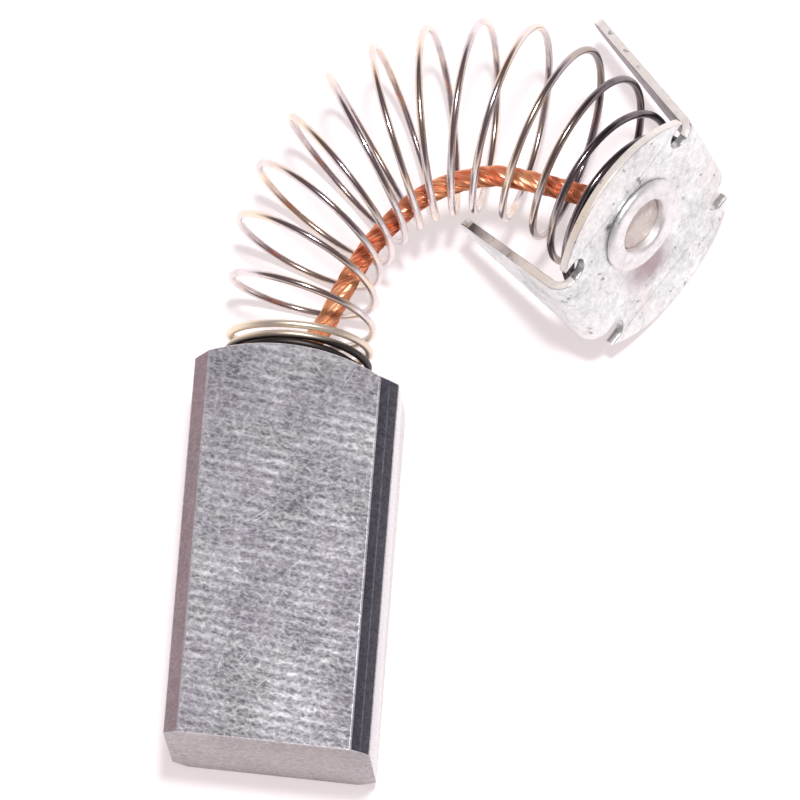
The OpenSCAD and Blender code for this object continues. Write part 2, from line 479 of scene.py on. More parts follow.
def network_group() -> None:
    """Builds the group that gives an uneven net of soft lines, 1 on a line and 0 between."""
    bench = GroupBench(Effect.NETWORK, {"Scale": 2.0, "Width": 0.15, "Wobble": 0.5})
    noise = bench.node("TexNoise", {"Detail": 3.0})
    shift = bench.node("VectorMath", operation="MULTIPLY_ADD")
    cells = bench.node("TexVoronoi", feature="DISTANCE_TO_EDGE")
    line = bench.node("MapRange", {"To Min": 1.0, "To Max": 0.0})
    for source, target in ((bench.given["Vector"], noise.inputs["Vector"]),
                           (bench.given["Scale"], noise.inputs["Scale"]),
                           (noise.outputs["Color"], shift.inputs[0]),
                           (bench.given["Wobble"], shift.inputs[1]),
                           (bench.given["Vector"], shift.inputs[2]),
                           (shift.outputs["Vector"], cells.inputs["Vector"]),
                           (bench.given["Scale"], cells.inputs["Scale"]),
                           (cells.outputs["Distance"], line.inputs["Value"]),
                           (bench.given["Width"], line.inputs["From Max"]),
                           (line.outputs["Result"], bench.result)):
        bench.join(source, target)


def scratches_group() -> None:
    """Builds the group that strews thin, slightly bent strokes along X, 1 on a stroke and 0 between."""
    bench = GroupBench(Effect.SCRATCHES, {"Spacing": 6.0, "Pitch": 0.3, "Share": 0.12})
    bend = bench.node("TexNoise", {"Scale": 0.7, "Detail": 1.0})
    moved = bench.node("VectorMath", {1: (0.0, 0.4, 0.0)}, operation="MULTIPLY_ADD")
    period = bench.node("CombineXYZ", {"Z": 1.0})
    scaled = bench.node("VectorMath", operation="DIVIDE")
    cells = bench.node("TexVoronoi", {"Scale": 1.0}, voronoi_dimensions="2D")
    chance = bench.node("SeparateColor")
    strength = bench.node("Math", {1: 0.6, 2: 0.4}, operation="MULTIPLY_ADD")
    for source, target in ((bench.given["Vector"], bend.inputs["Vector"]),
                           (bend.outputs["Color"], moved.inputs[0]),
                           (bench.given["Vector"], moved.inputs[2]),
                           (bench.given["Spacing"], period.inputs["X"]),
                           (bench.given["Pitch"], period.inputs["Y"]),
                           (moved.outputs["Vector"], scaled.inputs[0]),
                           (period.outputs["Vector"], scaled.inputs[1]),
                           (scaled.outputs["Vector"], cells.inputs["Vector"]),
                           (cells.outputs["Color"], chance.inputs["Color"]),
                           (chance.outputs["Green"], strength.inputs[0])):
        bench.join(source, target)
    stroke = bench.ranged(cells.outputs["Distance"], 0.03, 0.15, 1.0, 0.0)
    chosen = bench.maths("LESS_THAN", chance.outputs["Red"], bench.given["Share"])
    whole = bench.maths("MULTIPLY", stroke, chosen)
    bench.join(bench.maths("MULTIPLY", whole, strength.outputs[0]), bench.result)


class Bench(Wiring):
    """A material that is being built, with its shader and its coordinates in millimetres."""

    def __init__(self, name: str) -> None:
        """Makes the material.

        Args:
            name: Its name.
        """
        self.material = bpy.data.materials.new(name)
        self.material.use_nodes = True
        super().__init__(self.material.node_tree)
        self.shader = self.tree.nodes["Principled BSDF"]
        self.millimetres = self._mapped(self.node("TexCoord").outputs["Object"], Scale=(1000, 1000, 1000))

    def _mapped(self, source: bpy.types.NodeSocket,
                **values: tuple[float, float, float]) -> bpy.types.NodeSocket:
        """Passes coordinates through a Mapping node.

        Args:
            source: The coordinates.
            **values: The node's inputs by name.

        Returns:
            The new coordinates.
        """
        mapping = self.node("Mapping", values)
        self.join(source, mapping.inputs["Vector"])
        return mapping.outputs["Vector"]

    def laid_flat(self, turn: tuple[float, float, float]) -> bpy.types.NodeSocket:
        """Turns the coordinates, so that a face of the piece lies along X and Y.

        Args:
            turn: The turn about each axis, in degrees.

        Returns:
            The vector output, in millimetres.
        """
        return self._mapped(self.millimetres, Rotation=tuple(math.radians(angle) for angle in turn))

    def stretched(self, scale: tuple[float, float, float], turn: float = 0.0,
                  source: bpy.types.NodeSocket | None = None) -> bpy.types.NodeSocket:
        """Gives coordinates turned about Z, with a pattern denser along some axes.

        Args:
            scale: How much denser the pattern is along each axis.
            turn: The turn about Z, in degrees.
            source: The coordinates to start from; plain millimetres if None.

        Returns:
            The vector output.
        """
        shift_x, shift_y = LAYER_SHIFT
        laid = self._mapped(self.millimetres if source is None else source,
                            Rotation=(0, 0, math.radians(turn)), Location=(turn * shift_x, turn * shift_y, 0))
        return self._mapped(laid, Scale=scale)

    def effect(self, effect: Effect, vector: bpy.types.NodeSocket | None = None,
               **values: float) -> bpy.types.NodeSocket:
        """Places a shared effect with its own values.

        Args:
            effect: Which group.
            vector: Its coordinates; plain millimetres if None.
            **values: The group's inputs by name.

        Returns:
            The value output.
        """
        group = self.node("Group", node_tree=bpy.data.node_groups[effect.value])
        self.join(self.millimetres if vector is None else vector, group.inputs["Vector"])
        for key, value in values.items():
            group.inputs[key.capitalize()].default_value = value
        return group.outputs["Value"]

    def surface(self, colour: bpy.types.NodeSocket, roughness: bpy.types.NodeSocket, metallic: float) -> None:
        """Gives the shader its colour, its roughness and its share of metal.

        Args:
            colour: The colour.
            roughness: The roughness.
            metallic: The share of metal, the same all over.
        """
        self.join(colour, self.shader.inputs["Base Color"])
        self.join(roughness, self.shader.inputs["Roughness"])
        self.shader.inputs["Metallic"].default_value = metallic

    def bump(self, height: bpy.types.NodeSocket, depth: float, strength: float = 1.0) -> None:
        """Gives the surface a relief.

        Args:
            height: The height, 0 to 1.
            depth: The height's real size, in millimetres.
            strength: How much of it shows.
        """
        node = self.node("Bump", {"Strength": strength, "Distance": depth * MM})
        self.join(height, node.inputs["Height"])
        self.join(node.outputs["Normal"], self.shader.inputs["Normal"])


# --- Finishes ----------------------------------------------------------------


@dataclass(frozen=True)
class CarbonFinish:
    """Pressed electrographite: silver grey, with saw rows, a net of pale grain and scratches."""

    name: str
    dark: Colour
    light: Colour
    tint: Colour
    rows: float
    scratched: float
    roughness: float
    metallic: float
    laid_flat: tuple[float, float, float] = (0, 0, 0)
    ridge: float | None = None
    coat: float = 0.0

    def build(self) -> bpy.types.Material:
        """Builds the material.

        Returns:
            The material.
        """
        bench = Bench(self.name)
        face = bench.laid_flat(self.laid_flat)
        tone = self._tone(bench, face)
        colour = bench.mixed(tone, self.dark, self.light)
        clouds = bench.effect(Effect.MOTTLE, scale=0.28, detail=2, low=0.42, high=0.66)
        colour = bench.mixed(bench.maths("MULTIPLY", clouds, 0.22), colour, self.tint)
        scratch = self._scratches(bench, face)
        if self.ridge is not None:
            scratch = bench.maths("MAXIMUM", bench.maths("MULTIPLY", scratch, 0.35), self._worn_and_highlit_ridge(bench))
        pale = tuple(min(1.0, part * 1.3 + 0.1) for part in self.light)
        colour = bench.mixed(bench.maths("MULTIPLY", scratch, self.scratched), colour, pale)
        rough = bench.ranged(tone, 0, 1, self.roughness + 0.08, self.roughness - 0.1)
        bench.surface(colour, rough, self.metallic)
        bench.shader.inputs["Coat Weight"].default_value = self.coat
        bench.shader.inputs["Coat Roughness"].default_value = 0.12
        relief = bench.maths("SUBTRACT", tone, bench.maths("MULTIPLY", scratch, 0.6))
        bench.bump(relief, depth=0.02, strength=0.7)
        return bench.material

    def _tone(self, bench: Bench, face: bpy.types.NodeSocket) -> bpy.types.NodeSocket:
        """Gives the grain: dashes in sloping rows, a pale net, and fine specks.

        Args:
            bench: The material being built.
            face: The face's own coordinates.

        Returns:
            A value from dark to light.
        """
        saw = bench.node("TexWave", {"Scale": 0.56, "Distortion": 1.7, "Detail": 3.0, "Detail Scale": 1.3,
                                     "Detail Roughness": 0.6},
                         wave_type="BANDS", bands_direction="Y", wave_profile="SIN")
        bench.join(bench.stretched(EVEN, 8, face), saw.inputs["Vector"])
        dashes = bench.effect(Effect.MOTTLE, bench.stretched((1.0, 2.0, 1), 9, face),
                              scale=1.9, detail=3, low=0.38, high=0.64)
        broken = bench.effect(Effect.MOTTLE, face, scale=0.36, detail=2, low=0.36, high=0.64)
        rows = bench.maths("MULTIPLY", saw.outputs["Fac"], bench.ranged(broken, 0, 1, 0.12, 1.0))
        rows = bench.maths("MULTIPLY", rows, bench.ranged(dashes, 0, 1, 0.35 * self.rows, self.rows))
        net = bench.effect(Effect.NETWORK, face, scale=1.5, width=0.14, wobble=0.6)
        fine_net = bench.effect(Effect.NETWORK, bench.stretched((0.7, 1.5, 1), 16, face),
                                scale=2.9, width=0.2, wobble=0.4)
        specks = bench.effect(Effect.MOTTLE, bench.stretched((1.0, 1.5, 1), 9, face),
                              scale=4.4, detail=4, low=0.36, high=0.68)
        zones = bench.effect(Effect.MOTTLE, face, scale=0.21, detail=3, low=0.36, high=0.64)
        total = bench.added_up((rows, 0.56), (net, 0.18), (fine_net, 0.18), (specks, 0.4), (zones, 0.16))
        return bench.ranged(total, 0.1, 1.0)

    def _scratches(self, bench: Bench, face: bpy.types.NodeSocket) -> bpy.types.NodeSocket:
        """Strews scratches in a few directions.

        Args:
            bench: The material being built.
            face: The face's own coordinates.

        Returns:
            A value, 1 on a scratch.
        """
        first, *others = [bench.effect(Effect.SCRATCHES, bench.stretched(EVEN, turn, face),
                                       spacing=spacing, pitch=0.24, share=share)
                          for turn, spacing, share in SCRATCH_LAYERS]
        for layer in others:
            first = bench.maths("MAXIMUM", first, layer)
        return first

    def _worn_and_highlit_ridge(self, bench: Bench) -> bpy.types.NodeSocket:
        """Gives the pale line along the middle of a bevel, above and below: partly wear, partly a painted
        highlight.

        Args:
            bench: The material being built.

        Returns:
            A value, 1 on the line.
        """
        place = bench.split(bench.millimetres)
        height = bench.maths("ABSOLUTE", bench.maths("SUBTRACT", place["Z"], BLOCK_MIDDLE))
        off = bench.maths("SUBTRACT", bench.maths("SUBTRACT", place["X"], height), self.ridge)
        line = bench.ranged(bench.maths("ABSOLUTE", off), 0.03, 0.09, 1.0, 0.0)
        worn = bench.effect(Effect.MOTTLE, bench.stretched(EVEN), scale=1.6, detail=3, low=0.36, high=0.56)
        return bench.maths("MULTIPLY", line, bench.ranged(worn, 0, 1, 0.25, 1.0))


@dataclass(frozen=True)
class Mark:
    """A soft spot of colour at a place in millimetres, used for painted shade and for dark spots."""

    place: tuple[float, float, float]
    size: float
    strength: float
    colour: Colour
    core: float = 0.5
    reach: float = 1.3

    def mask(self, bench: Bench) -> bpy.types.NodeSocket:
        """Gives the mark's strength over the surface.

        Args:
            bench: The material being built.

        Returns:
            A value, highest in the mark's middle.
        """
        away = bench.node("VectorMath", {1: self.place}, operation="DISTANCE")
        bench.join(bench.millimetres, away.inputs[0])
        ragged = bench.effect(Effect.MOTTLE, scale=1.2 / self.size, detail=3, low=0.2, high=0.8)
        ragged = bench.maths("MULTIPLY", ragged, self.size * self.core)
        edge = bench.maths("ADD", away.outputs["Value"], ragged)
        return bench.ranged(edge, self.size * self.core, self.size * self.reach, self.strength, 0.0)


@dataclass(frozen=True)
class PlatedFinish:
    """Tin-plated sheet: satin silver, mottled, tinted in places, with small dark specks."""

    name: str
    base: Colour
    shade: Colour
    tint: Colour
    roughness: float
    specks: float
    metallic: float = 1.0
    marks: tuple[Mark, ...] = ()

    def build(self) -> bpy.types.Material:
        """Builds the material.

        Returns:
            The material.
        """
        bench = Bench(self.name)
        clouds = bench.effect(Effect.MOTTLE, scale=0.4, detail=4, low=0.4, high=0.66)
        fine = bench.effect(Effect.MOTTLE, scale=2.6, detail=6, low=0.36, high=0.66)
        grain = bench.effect(Effect.MOTTLE, scale=7.0, detail=3, low=0.35, high=0.65)
        specks = bench.effect(Effect.MOTTLE, scale=1.6, detail=3, low=0.64, high=0.69)
        tone = bench.added_up((clouds, 0.38), (fine, 0.42), (grain, 0.25))
        colour = bench.mixed(tone, self.base, self.shade)
        stain = bench.effect(Effect.MOTTLE, bench.stretched((1, 1, 0.7), 25),
                             scale=0.3, detail=3, low=0.5, high=0.72)
        colour = bench.mixed(bench.maths("MULTIPLY", stain, 0.55), colour, self.tint)
        colour = bench.mixed(bench.maths("MULTIPLY", specks, self.specks), colour, SPECK)
        for mark in self.marks:
            colour = bench.mixed(mark.mask(bench), colour, mark.colour)
        rough = bench.ranged(tone, 0, 1, self.roughness - 0.1, self.roughness + 0.14)
        bench.surface(colour, rough, self.metallic)
        bench.bump(bench.maths("ADD", bench.maths("MULTIPLY", clouds, 0.6), fine), depth=0.02, strength=0.7)
        return bench.material


@dataclass(frozen=True)
class WireFinish:
    """Drawn metal wire: smooth, tinted in patches, with painted shade where it meets the carbon.

    The places are in millimetres: the painted dark reflection across the brush, the others along it.
    """

    name: str
    base: Colour
    shade: Colour
    tint: Colour
    roughness: float
    metallic: float = 1.0
    block_shade_from: float = 11.42
    block_shade_over: float = 0.25
    block_shade: float = 0.95
    dulled: tuple[float, float] = (12.5, 13.2)
    dark_reflection_across: tuple[float, float] | None = None
    highlight_span: tuple[float, float] = (12.6, 13.4)
    painted_highlight: Colour | None = None

    def build(self) -> bpy.types.Material:
        """Builds the material.

        Returns:
            The material.
        """
        bench = Bench(self.name)
        patches = bench.effect(Effect.MOTTLE, scale=0.9, detail=4, low=0.35, high=0.7)
        fine = bench.effect(Effect.MOTTLE, scale=9.0, detail=3, low=0.3, high=0.7)
        tone = bench.added_up((patches, 0.7), (fine, 0.3))
        stain = bench.effect(Effect.MOTTLE, scale=0.3, detail=3, low=0.46, high=0.62)
        colour = bench.mixed(bench.maths("MULTIPLY", stain, 0.7),
                             bench.mixed(tone, self.base, self.shade), self.tint)
        place = bench.split(bench.millimetres)
        # Painted dark reflection: the wire darkens across the brush towards the cap.
        if self.dark_reflection_across is not None:
            tan = bench.ranged(place["X"], *self.dark_reflection_across, 0.0, 0.93)
            tan = bench.maths("MULTIPLY", tan, bench.ranged(patches, 0, 1, 1.0, 0.8))
            colour = bench.mixed(tan, colour, PAINTED_DARK_REFLECTION)
        # Painted highlight: a golden sheen on the closed turns by the block.
        if self.painted_highlight is not None:
            painted_highlight = bench.ranged(place["Y"], *self.highlight_span, 0.75, 0.0)
            painted_highlight = bench.maths("MULTIPLY", painted_highlight, bench.ranged(patches, 0, 1, 0.5, 1.0))
            colour = bench.mixed(painted_highlight, colour, self.painted_highlight)
        # Painted shade on the wire where it meets the block's rear end.
        block_shade = bench.ranged(place["Y"], self.block_shade_from, self.block_shade_from + self.block_shade_over, self.block_shade, 0.0)
        colour = bench.mixed(block_shade, colour, PAINTED_BLOCK_SHADE)
        near_block = bench.ranged(place["Y"], *self.dulled, 0.3, 0.0)
        rough = bench.ranged(tone, 0, 1, self.roughness, self.roughness + 0.1)
        bench.surface(colour, bench.maths("ADD", rough, near_block), self.metallic)
        bench.bump(fine, depth=0.004, strength=0.4)
        return bench.material


@dataclass(frozen=True)
class PowderFinish:
    """Packed or fused matter: uneven, and flecked with metal."""

    name: str
    base: Colour
    fleck: Colour
    roughness: float
    metallic: float
    relief: float

    def build(self) -> bpy.types.Material:
        """Builds the material.

        Returns:
            The material.
        """
        bench = Bench(self.name)
        lumps = bench.effect(Effect.MOTTLE, scale=2.4, detail=5, low=0.35, high=0.68)
        flecks = bench.effect(Effect.MOTTLE, scale=8.0, detail=3, low=0.45, high=0.68)
        tone = bench.added_up((lumps, 0.6), (flecks, 0.4))
        rough = bench.ranged(tone, 0, 1, self.roughness, self.roughness - 0.15)
        bench.surface(bench.mixed(tone, self.base, self.fleck), rough, self.metallic)
        bench.bump(tone, self.relief)
        return bench.material


CARBON_WIDE = CarbonFinish(
    "carbon_wide_face", (0.088, 0.084, 0.098), (0.545, 0.535, 0.565), (0.35, 0.26, 0.37),
    rows=1.0, scratched=0.6, roughness=0.55, metallic=0.25)
# The two bevels are one material: the left one painted lighter, the right one painted darker.
CARBON_LEFT_LIT = CarbonFinish(
    "carbon_left_bevel_lit", (0.235, 0.17, 0.185), (0.39, 0.315, 0.335), (0.35, 0.22, 0.26),
    rows=0.2, scratched=0.1, roughness=0.5, metallic=0.3, laid_flat=ON_ITS_SIDE)
CARBON_RIGHT_SHADED = CarbonFinish(
    "carbon_right_bevel_shaded", (0.022, 0.02, 0.032), (0.09, 0.085, 0.115), (0.06, 0.05, 0.08),
    rows=0.3, scratched=0.5, roughness=0.36, metallic=0.2, laid_flat=ON_ITS_SIDE, ridge=1.5)
CARBON_SIDE = CarbonFinish(
    "carbon_side_face", (0.24, 0.235, 0.27), (0.6, 0.59, 0.66), (0.4, 0.36, 0.44),
    rows=0.5, scratched=0.4, roughness=0.3, metallic=0.3, laid_flat=ON_ITS_SIDE, coat=1.0)
CARBON_END = CarbonFinish(
    "carbon_end_face", (0.53, 0.455, 0.46), (1.0, 0.98, 1.0), (0.74, 0.61, 0.6),
    rows=0.1, scratched=0.1, roughness=0.6, metallic=0.0, laid_flat=ON_ITS_END)
CARBON_WORN = CarbonFinish(
    "carbon_worn_edge", (0.3, 0.28, 0.31), (0.72, 0.69, 0.74), (0.5, 0.42, 0.46),
    rows=0.2, scratched=0.2, roughness=0.4, metallic=0.4)
PLATED = PlatedFinish(
    "tin_plated_sheet", (0.91, 0.94, 0.94), (0.5, 0.52, 0.53), (0.8, 0.75, 0.73), roughness=0.38, specks=0.7,
    # The first two marks are painted shadow below the eyelet's flange; the third is a small dark spot.
    marks=(Mark((18.4, 17.8, 4.5), 1.8, 0.9, (0.36, 0.28, 0.3)),
           Mark((17.6, 17.3, 4.6), 1.6, 0.7, (0.4, 0.32, 0.34)),
           Mark((16.2, 17.85, 10.3), 0.3, 0.9, (0.1, 0.09, 0.1))))
# Painted shade: the arms' inner faces, the same plating darkened.
PLATED_SHADED_INSIDE = PlatedFinish(
    "shaded_inner_sheet", (0.42, 0.38, 0.41), (0.2, 0.175, 0.2), (0.4, 0.33, 0.34),
    roughness=0.45, specks=0.7, metallic=0.8)
CUT_EDGE = PlatedFinish(
    "cut_brass_edge", (1.0, 0.95, 0.92), (0.83, 0.75, 0.7), (0.86, 0.69, 0.52),
    roughness=0.4, specks=0.6, metallic=0.45,
    # The first mark is painted shade at the near arm's tip; the second is a brownish patch.
    marks=(Mark((8.4, 18.95, 5.0), 2.3, 0.95, (0.06, 0.05, 0.055)),
           Mark((10.6, 17.0, 6.9), 1.7, 0.6, (0.34, 0.27, 0.24))))
PLATED_EYELET = PlatedFinish(
    "tin_plated_eyelet", (0.96, 0.95, 0.96), (0.7, 0.69, 0.7), (0.87, 0.8, 0.78),
    roughness=0.48, specks=0.35, metallic=0.85)
SPRING_STEEL = WireFinish(
    "bright_spring_wire", (0.84, 0.79, 0.8), (0.6, 0.53, 0.54), (0.94, 0.77, 0.58),
    roughness=0.13, dark_reflection_across=(11.5, 15.5), painted_highlight=(1.0, 0.9, 0.68))
# The lead also gets painted shade where it leaves the block.
COPPER = WireFinish(
    "bare_copper_wire", (0.98, 0.4, 0.22), (0.6, 0.13, 0.05), (1.0, 0.56, 0.3),
    roughness=0.27, metallic=0.6, block_shade_from=11.9, block_shade=0.92)
TAMPING = PowderFinish(
    "tamping_powder", (0.16, 0.09, 0.07), (0.5, 0.26, 0.17), roughness=0.7, metallic=0.3, relief=0.06)
WELD = PowderFinish(
    "fused_lead_end", (0.92, 0.74, 0.66), (1.0, 0.96, 0.95), roughness=0.45, metallic=0.25, relief=0.12)


# --- Sub-assemblies ------------------------------------------------------------


def dress(piece: bpy.types.Object, node: str, slot: str, *materials: bpy.types.Material) -> bpy.types.Object:
    """Gives a new piece its materials, and its place in the frame.

    Args:
        piece: The new piece.
        node: The CAD node that it stands for.
        slot: The record's material slot; not used.
        *materials: Its materials, in the order of its faces' indices.

    Returns:
        The piece.
    """
    piece.data.materials.clear()
    for material in materials:
        piece.data.materials.append(material)
    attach(piece, ROOT)
    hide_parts(node)
    LOG.info("%s: %d faces", piece.name, len(piece.data.polygons))
    return piece


def smooth_row(rows: list[tuple[float, ...]], at: float) -> list[float]:
    """Reads a smooth curve through rows whose first value is the running one.

    Args:
        rows: The rows, in rising order.
        at: The running value.

    Returns:
        The row at that value.
    """
    last = len(rows) - 1
    i = 0
    while i < last - 1 and at > rows[i + 1][0]:
        i += 1

    def slope(k: int) -> list[float]:
        """Gives the curve's slope at a row."""
        a, b = rows[max(0, k - 1)], rows[min(last, k + 1)]
        return [(q - p) / (b[0] - a[0]) for p, q in zip(a, b)]

    a, b, gap = rows[i], rows[i + 1], rows[i + 1][0] - rows[i][0]
    t = (at - a[0]) / gap
    start, end = slope(i), slope(i + 1)
    return [(2 * t**3 - 3 * t**2 + 1) * p + (t**3 - 2 * t**2 + t) * gap * m
            + (3 * t**2 - 2 * t**3) * q + (t**3 - t**2) * gap * n
            for p, q, m, n in zip(a, b, start, end)]


@dataclass
class BlockMaker:
    """The carbon block: a bevelled bar with a skewed front, and a rounded rear with a shoulder."""

    width: float = 11.0
    thickness: float = 8.0
    length: float = 21.75
    front: float = -10.75
    bevel_left: float = 0.8
    bevel_right: float = 0.97
    front_skew: float = 2.6
    rear_radius: float = 11.3
    rear_shift: float = 1.09
    shoulder_width: float = 1.05
    shoulder_skew: float = 9.0
    bore_depth: float = 7.0
    bore: float = 2.4
    worn_edge: float = 0.07

    def build(self) -> bpy.types.Object:
        """Models the block and dresses it.

        Returns:
            The block.
        """
        rear, middle, spare = self.rear, self.thickness / 2, 4.0
        block = box("block_body", (0, (self.front + rear) / 2, middle),
                    (self.width, self.length + spare, self.thickness))
        for side, leg, facets in ((-1, self.bevel_left, 1), (1, self.bevel_right, 2)):
            with editing(block, Part.EDGES):
                pick(block, Part.EDGES,
                     lambda a, b, s=side: abs(a.y - b.y) > self.width * MM and a.x * s > 0 and b.x * s > 0)
                bpy.ops.mesh.bevel(offset_type="OFFSET", offset=leg * MM, segments=facets, profile=0.27,
                                   affect="EDGES")
        skew = math.radians(self.front_skew)
        with editing(block):
            bpy.ops.mesh.select_all(action="SELECT")
            bpy.ops.mesh.bisect(plane_co=(0, self.front * MM, 0),
                                plane_no=(-math.sin(skew), -math.cos(skew), 0),
                                use_fill=True, clear_outer=True)
        self._round_the_rear(block)
        bore_tool = rod("bore_tool", (0, rear, middle), self.bore / 2, 2 * self.bore_depth,
                        sides=64, turn=(math.pi / 2, 0, 0))
        carve(block, bore_tool, Cut.DIFFERENCE)
        tidy_mesh(block)
        soften(block, self.worn_edge * MM, segments=3, over_angle=26)
        smooth(block, 24)
        self._paint(block)
        return block

    @property
    def rear(self) -> float:
        """Where the block ends along its middle, in millimetres."""
        return self.front + self.length

    @property
    def rear_centre(self) -> float:
        """How far along the block the middle of its rear round stands, in millimetres."""
        return self.rear - math.sqrt(self.rear_radius**2 - self.rear_shift**2)

    def rear_at(self, x: float) -> float:
        """Gives where the rear round ends at a place across the block, in millimetres."""
        return self.rear_centre + math.sqrt(self.rear_radius**2 - (x + self.rear_shift) ** 2)

    def _round_the_rear(self, block: bpy.types.Object) -> None:
        """Cuts the block's spring end to its arc, with the flat shoulder on its right.

        Args:
            block: The block.
        """
        centre_y, middle = self.rear_centre, self.thickness / 2
        past_front, spare, length = 30, 1.0, 10.0
        tool = rod("rear_tool", (-self.rear_shift, centre_y, middle), self.rear_radius, 2 * self.thickness,
                   sides=512)
        pull(tool, lambda v: v.y < centre_y * MM, (0, -past_front, 0))
        shoulder_x = self.width / 2 - self.shoulder_width
        near, far = shoulder_x - spare, self.width / 2 + spare
        slope = math.tan(math.radians(self.shoulder_skew))
        top = self.rear_at(shoulder_x) + spare * slope
        shoulder = box("shoulder_tool", ((near + far) / 2, top - length / 2, middle),
                       (far - near, length, 3 * self.thickness))
        pull(shoulder, lambda v: v.x > shoulder_x * MM and v.y > (top - spare) * MM,
             (0, -(far - near) * slope, 0))
        carve(tool, shoulder, Cut.UNION)
        carve(block, tool, Cut.INTERSECT)

    def _paint(self, block: bpy.types.Object) -> None:
        """Gives each of the block's faces the finish of its side, and its worn edges theirs; the two bevels'
        finishes hold painted light and shade.

        Args:
            block: The block.
        """
        finishes = (CARBON_WIDE, CARBON_LEFT_LIT, CARBON_RIGHT_SHADED, CARBON_SIDE, CARBON_END, CARBON_WORN)
        dress(block, "carbon_block", "carbon", *(finish.build() for finish in finishes))
        for face in block.data.polygons:
            face.material_index = finishes.index(self._finish_of(face.normal))

    @staticmethod
    def _finish_of(normal: Vector) -> CarbonFinish:
        """Chooses the finish of a face by the way it faces.

        Args:
            normal: The face's normal.

        Returns:
            Its finish.
        """
        across, along, height = abs(normal.x), abs(normal.y), abs(normal.z)
        if along > 0.6:
            return CARBON_END
        if height > 0.99:
            return CARBON_WIDE
        if across > 0.99:
            return CARBON_SIDE
        if along < 0.02 and 0.6 < across < 0.8:
            return CARBON_LEFT_LIT if normal.x < 0 else CARBON_RIGHT_SHADED
        return CARBON_WORN


class Station(NamedTuple):
    """A place on the coil's middle line, in millimetres and degrees."""

    turn: float
    x: float
    y: float
    z: float
    radius: float
    heading: float
    rise: float


@dataclass
class SpringMaker:
    """The pressure spring: a bent, barrel-shaped, left-hand coil of round wire."""

    stations: list[Station]
    block: BlockMaker
    cap_out: tuple[float, float, float]
    wire: float = 0.42
    bite: float = 0.02
    turns_on_block: float = 2.75
    turns_on_cap: float = 1.25
    stepped: float = 0.25
    steps: int = 64

    @classmethod
    def between(cls, block: BlockMaker, cap: CapMaker) -> SpringMaker:
        """Lays the coil's middle line from the block's round end to the cap's plate.

        Args:
            block: The block, which the first turns lie on.
            cap: The cap, which the last turns lie on.

        Returns:
            The spring's maker.
        """
        start_x, middle, out = -0.25, block.thickness / 2, Vector(cap.out)
        start_y = block.rear_at(start_x) + cls.wire / 2 - cls.bite + cls.turns_on_block * cls.wire
        seat = Vector(cap.place) - (cap.sheet + cls.wire / 2 - cls.bite + cls.turns_on_cap * cls.wire) * out
        stations = [Station(0.5, start_x, start_y, middle + 0.05, 3.77, 90, 0),
                    Station(3, 0.05, 18.15, 4.7, 4.25, 61, -8),
                    Station(6, 3.65, 23.2, 5.7, 4.87, 26, 2),
                    Station(9, 9.45, 24.7, 6.7, 5.15, -9, 2),
                    Station(11, 14, 22.8, 7.35, 5.0, -23, 6),
                    Station(13, *seat, 4.75, cap.turn - 90, cap.lean)]
        return cls(stations, block, cap.out)

    def station(self, turn: float) -> Station:
        """Gives the coil's middle line at a turn count, past its ends too.

        Args:
            turn: The turn count.

        Returns:
            The station there.
        """
        first, last = self.stations[0], self.stations[-1]
        if turn < first.turn:
            return first._replace(turn=turn, y=first.y - self.turns_on_block * self.wire + self._climb(turn))
        if turn > last.turn:
            past = turn - last.turn
            x, y, z = (at + past * self.wire * way for at, way in zip(last[1:4], self.cap_out))
            return last._replace(turn=turn, x=x, y=y, z=z)
        return Station(*smooth_row(self.stations, turn))

    def _climb(self, turn: float) -> float:
        """Gives how far a closed turn has climbed from the block: flat, then a step over the turn below.

        Args:
            turn: The turn count.

        Returns:
            The climb, in millimetres.
        """
        done = turn - (self.stations[0].turn - self.turns_on_block)
        whole, full = math.floor(done), math.floor(self.turns_on_block)
        step = max(0.0, (done - whole - (1 - self.stepped)) / self.stepped)
        height = whole + step * step * (3 - 2 * step)
        if whole == full:
            left = self.turns_on_block - full
            height += left * ((done - full) / left) ** 2
        return height * self.wire

    def point(self, turn: float) -> Vector:
        """Gives the wire's middle at a turn count. Closed turns sag onto the block's round end.

        Args:
            turn: The turn count.

        Returns:
            The place, in metres.
        """
        here = self.station(turn)
        heading, rise = math.radians(here.heading), math.radians(here.rise)
        level = math.cos(rise)
        axis = Vector((math.cos(heading) * level, math.sin(heading) * level, math.sin(rise)))
        side = axis.cross(Vector((0, 0, 1))).normalized()
        up = side.cross(axis)
        angle = 2 * math.pi * turn
        place = Vector(here[1:4]) + here.radius * (math.cos(angle) * side + math.sin(angle) * up)
        first = self.stations[0]
        if turn < first.turn:
            share = (first.turn - turn) / self.turns_on_block
            place.y += share * (self.block.rear_at(place.x) - self.block.rear_at(first.x))
        return place * MM

    def build(self) -> bpy.types.Object:
        """Draws the wire's route and gives it its round section.

        Returns:
            The spring.
        """
        first = self.stations[0].turn - self.turns_on_block
        last = self.stations[-1].turn + self.turns_on_cap
        count = math.ceil((last - first) * self.steps) + 1
        points = [self.point(first + (last - first) * i / (count - 1)) for i in range(count)]
        spring = swept("spring_wire", [points], self.wire / 2, resolution=6)
        smooth(spring, 50)
        return dress(spring, "pressure_spring", "spring_steel", SPRING_STEEL.build())


